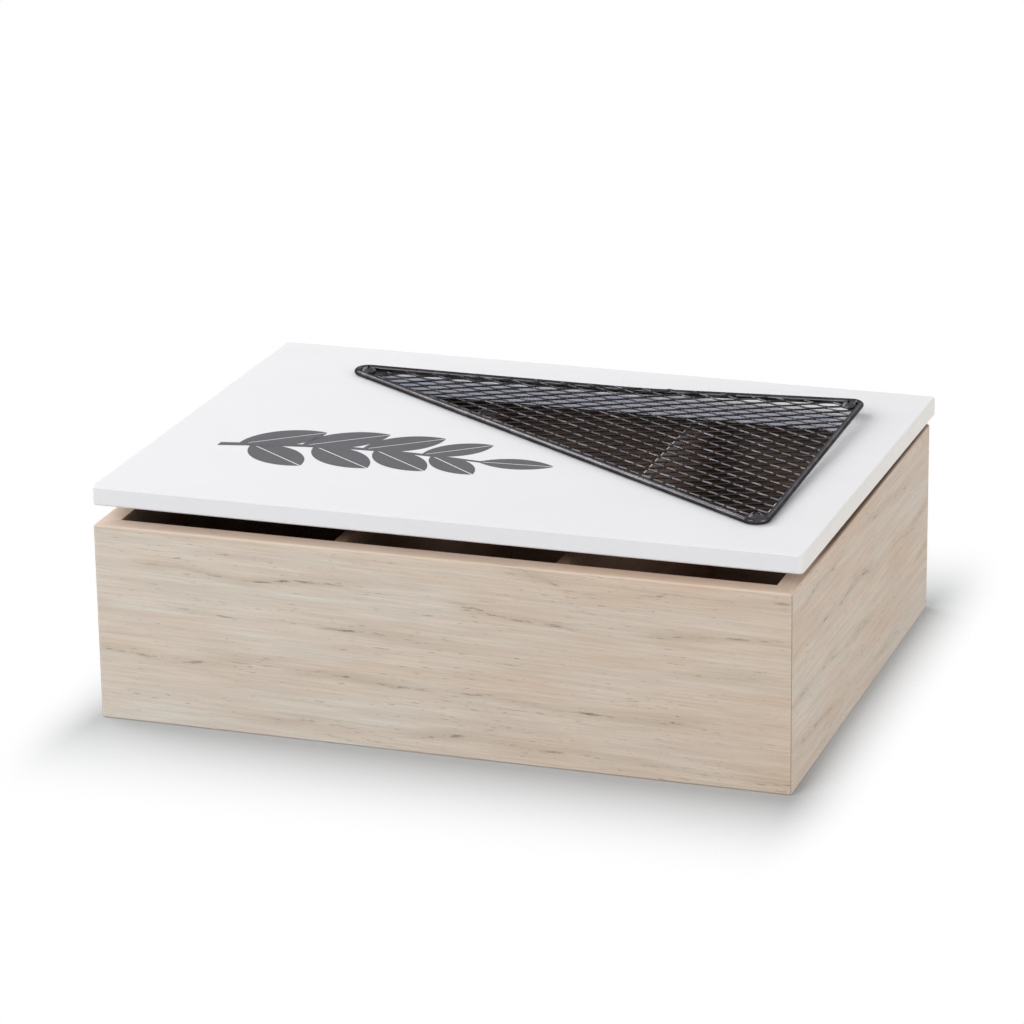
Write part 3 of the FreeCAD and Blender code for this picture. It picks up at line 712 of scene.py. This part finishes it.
screw_black = lacquered("lacquer_screw", 1.0, 0.8, 0.1, 0.3)
TAB_TOP = LID_TOP + 1.0
BACK_TAB_RAISED = 2.35
SCREWS = (
    # name, place on the lid, height of the tab, turn of the slot and lean in degrees
    ("left", (-78.88, -33.80), TAB_TOP, 25, (0, 0)),
    ("front", (98.60, -153.09), TAB_TOP, 70, (0, 0)),
    ("back", (98.63, -33.75), TAB_TOP + BACK_TAB_RAISED, 10, (3.2, -2.2)),
)
for name, (x, y), high, turn, (lean_x, lean_y) in SCREWS:
    screw = screw_head("screw_" + name, HEAD_RADIUS, HEAD_HIGH)
    screw.data.transform(lid_place @ Matrix.Translation((x, y, high))
                         @ Matrix.Rotation(math.radians(lean_x), 4, "X")
                         @ Matrix.Rotation(math.radians(lean_y), 4, "Y")
                         @ Matrix.Rotation(math.radians(turn), 4, "Z"))
    dress(screw, screw_black)
    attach(screw, "lid")

# ------------------------------------------------------------------ the hinges' screws
# Each leaf is held by two small countersunk screws of plated steel, whose flat heads lie
# level with the leaf.

LEAF_SCREW_RADIUS, LEAF_SCREW_HIGH = 1.9, 0.35
HINGE_MIDDLE = 78.0      # from the box's middle, in millimetres
SCREW_SIDEWAYS = 8.0     # of each screw from its hinge's middle
SCREW_Y = -5.2           # in front of the line of the pins
SEAT = 1.35              # of a head below or above the line of the pins
box_place = Matrix.Translation(Vector(joint["pos_m"])) @ Matrix.Scale(MM, 4)
LEAF_SCREWS = (
    # leaf, body, where the leaf is, level of the heads' seat, turn
    ("lower", "box", box_place, -SEAT, Matrix.Identity(4)),
    ("upper", "lid", lid_place, SEAT, Matrix.Rotation(math.pi, 4, "X")),
)
for side, side_x in (("left", -HINGE_MIDDLE), ("right", HINGE_MIDDLE)):
    for leaf_name, body_name, leaf_place, seat, turn in LEAF_SCREWS:
        for end, sideways in (("left", -SCREW_SIDEWAYS), ("right", SCREW_SIDEWAYS)):
            screw = screw_head("hinge_screw_%s_%s_%s" % (side, leaf_name, end),
                               LEAF_SCREW_RADIUS, LEAF_SCREW_HIGH)
            seated = Matrix.Translation((side_x + sideways, SCREW_Y, seat)) @ turn
            screw.data.transform(leaf_place @ seated)
            dress(screw, hinge_steel)
            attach(screw, body_name)

# ------------------------------------------------------------------ studio and camera
# The box stands on a white table, which is painted to glow white to the camera away from
# the box, and painted greyer in front of it. Two long narrow lamps at the left gleam on the
# wire and the mesh, with a weak one low beside them, and soft lamps in front, at the right
# and behind light the rest, as for a catalogue.

TABLE_HALF = 3.0
# the table's own grey, and a painted shade that is greyer in front of the box
TABLE_TONE, TABLE_SHADE_IN_FRONT = (0.66, 0.68, 0.70, 1), (0.545, 0.56, 0.575, 1)
SHADOW_FULL, SHADOW_LOST = 4 * MM, 74 * MM      # from the box, in front and behind
SHADOW_NARROWER = 3.0                           # at the sides than in front


def seen_by_camera(tree):
    """1 for the camera's rays, straight or by way of metal and glass, and 0 for light."""
    path = node(tree, "ShaderNodeLightPath")
    seen = maths(tree, "MAXIMUM", path.outputs["Is Camera Ray"],
                 path.outputs["Is Glossy Ray"])
    return maths(tree, "MAXIMUM", seen, path.outputs["Is Transmission Ray"])


def table_top():
    """The table, glowing pure white to the camera away from the box, with the box's shadow near
    it.
    """
    floor = bmesh.new()
    bmesh.ops.create_grid(floor, x_segments=1, y_segments=1, size=TABLE_HALF)
    piece = finished(floor, "table")
    material, tree, shader = new_material("white_table")
    x, y, _ = parts_of(tree, node(tree, "ShaderNodeTexCoord").outputs["Object"])
    # painted light: the table glows white to the camera a hand's breadth from the box and
    # beyond, fading the shadow out, sooner at the sides
    beside, before = (
        maths(tree, "MAXIMUM", 0.0,
              maths(tree, "SUBTRACT", maths(tree, "ABSOLUTE", off), half))
        for off, half in ((x, half_width), (y, half_depth)))
    outside = node(tree, "ShaderNodeCombineXYZ",
                   {"X": maths(tree, "MULTIPLY", beside, SHADOW_NARROWER), "Y": before})
    away = node(tree, "ShaderNodeVectorMath", {0: outside.outputs[0]},
                operation="LENGTH").outputs["Value"]
    left = node(tree, "ShaderNodeMapRange",
                {"Value": away, "From Min": SHADOW_FULL, "From Max": SHADOW_LOST,
                 "To Min": 1.0, "To Max": 0.0}).outputs["Result"]
    glow_share = maths(tree, "SUBTRACT", 1.0, maths(tree, "MULTIPLY", left, left))
    white = node(tree, "ShaderNodeEmission", {"Color": (1, 1, 1, 1), "Strength": 1.0})
    # painted shade: it is a little greyer in front of the box
    shade_in_front = ramp_between(tree, y, -half_depth - 10 * MM, 60 * MM - half_depth, 1.0, 0.0)
    tone = blend_colours(tree, shade_in_front, TABLE_TONE, TABLE_SHADE_IN_FRONT)
    tree.links.new(tone, shader.inputs["Base Color"])
    shader.inputs["Roughness"].default_value = 0.9
    shader.inputs["Specular IOR Level"].default_value = 0.1
    mixed = node(tree, "ShaderNodeMixShader",
                 {0: maths(tree, "MULTIPLY", glow_share, seen_by_camera(tree)),
                  1: shader.outputs[0], 2: white.outputs[0]})
    tree.links.new(mixed.outputs[0], tree.nodes["Material Output"].inputs["Surface"])
    dress(piece, material)


LAMP_AIM = Vector((0, 0, 50 * MM))
LAMPS = (
    # name, place, direction of the long side, length, width, power in watts
    ("key_lamp", (-1.36, 0.25, 1.0), (-0.487, -0.717, -0.504), 1.9, 0.14, 13.6),
    ("second_key_lamp", (-1.354, 0.528, 0.932), (0.515, 0.769, 0.378), 0.8, 0.16, 2.3),
    ("left_lamp", (-1.54, -0.12, 0.49), (0, 0, 1), 0.9, 0.13, 0.8),
    ("front_lamp", (-0.85, -1.75, 1.2), (1, -0.45, 0), 1.2, 1.2, 20.0),
    ("right_lamp", (2.1, -0.7, 0.6), (0, 1, 0), 1.2, 1.2, 17.0),
    ("back_lamp", (0.37, 1.59, 0.88), (1, 0, 0), 1.0, 0.3, 3.0),
)


def lamp(name, place, long_way, length, width, power):
    """A softbox that faces the box, with its long side turned along long_way."""
    light = bpy.data.lights.new(name, "AREA")
    light.shape = "RECTANGLE"
    light.size, light.size_y = length, width
    light.energy = power
    holder = bpy.data.objects.new(name, light)
    bpy.context.scene.collection.objects.link(holder)
    backward = (Vector(place) - LAMP_AIM).normalized()
    sideways = Vector(long_way) - backward * Vector(long_way).dot(backward)
    sideways.normalize()
    turned = Matrix((sideways, backward.cross(sideways), backward)).transposed().to_4x4()
    holder.matrix_world = Matrix.Translation(place) @ turned


table_top()
for name, place, long_way, length, width, power in LAMPS:
    lamp(name, place, long_way, length, width, power)

# the surround is white to the camera and weaker as light
SKY_LIGHT = 0.39
world = bpy.data.worlds.new("studio")
world.use_nodes = True
bpy.context.scene.world = world
sky = world.node_tree
background = sky.nodes["Background"]
sky.links.new(maths(sky, "MULTIPLY_ADD", seen_by_camera(sky), 1.0 - SKY_LIGHT, SKY_LIGHT),
              background.inputs["Strength"])
background.inputs["Color"].default_value = (1, 1, 1, 1)

VIEW_TURN, VIEW_HEIGHT, VIEW_ROLL = (math.radians(a) for a in (18.921, 18.860, -0.829))
VIEW_DISTANCE = 1516.83 * MM
VIEW_AIM = Vector((-6.714, 6.257, 51.570)) * MM
SENSOR_WIDTH, FOCAL_LENGTH = 36.0, 154.63        # in millimetres
backward = Vector((math.sin(VIEW_TURN) * math.cos(VIEW_HEIGHT),
                   -math.cos(VIEW_TURN) * math.cos(VIEW_HEIGHT), math.sin(VIEW_HEIGHT)))
rightward = Vector((0, 0, 1)).cross(backward).normalized()
upward = backward.cross(rightward)
facing = Matrix((rightward, upward, backward)).transposed().to_4x4()
lens = bpy.data.cameras.new("camera")
lens.sensor_width = SENSOR_WIDTH
lens.lens = FOCAL_LENGTH
lens.clip_start = 50 * MM
camera = bpy.data.objects.new("camera", lens)
camera.matrix_world = (Matrix.Translation(VIEW_AIM + backward * VIEW_DISTANCE)
                       @ facing @ Matrix.Rotation(VIEW_ROLL, 4, "Z"))
bpy.context.scene.collection.objects.link(camera)
bpy.context.scene.camera = camera
bpy.context.scene.view_settings.view_transform = "Standard"
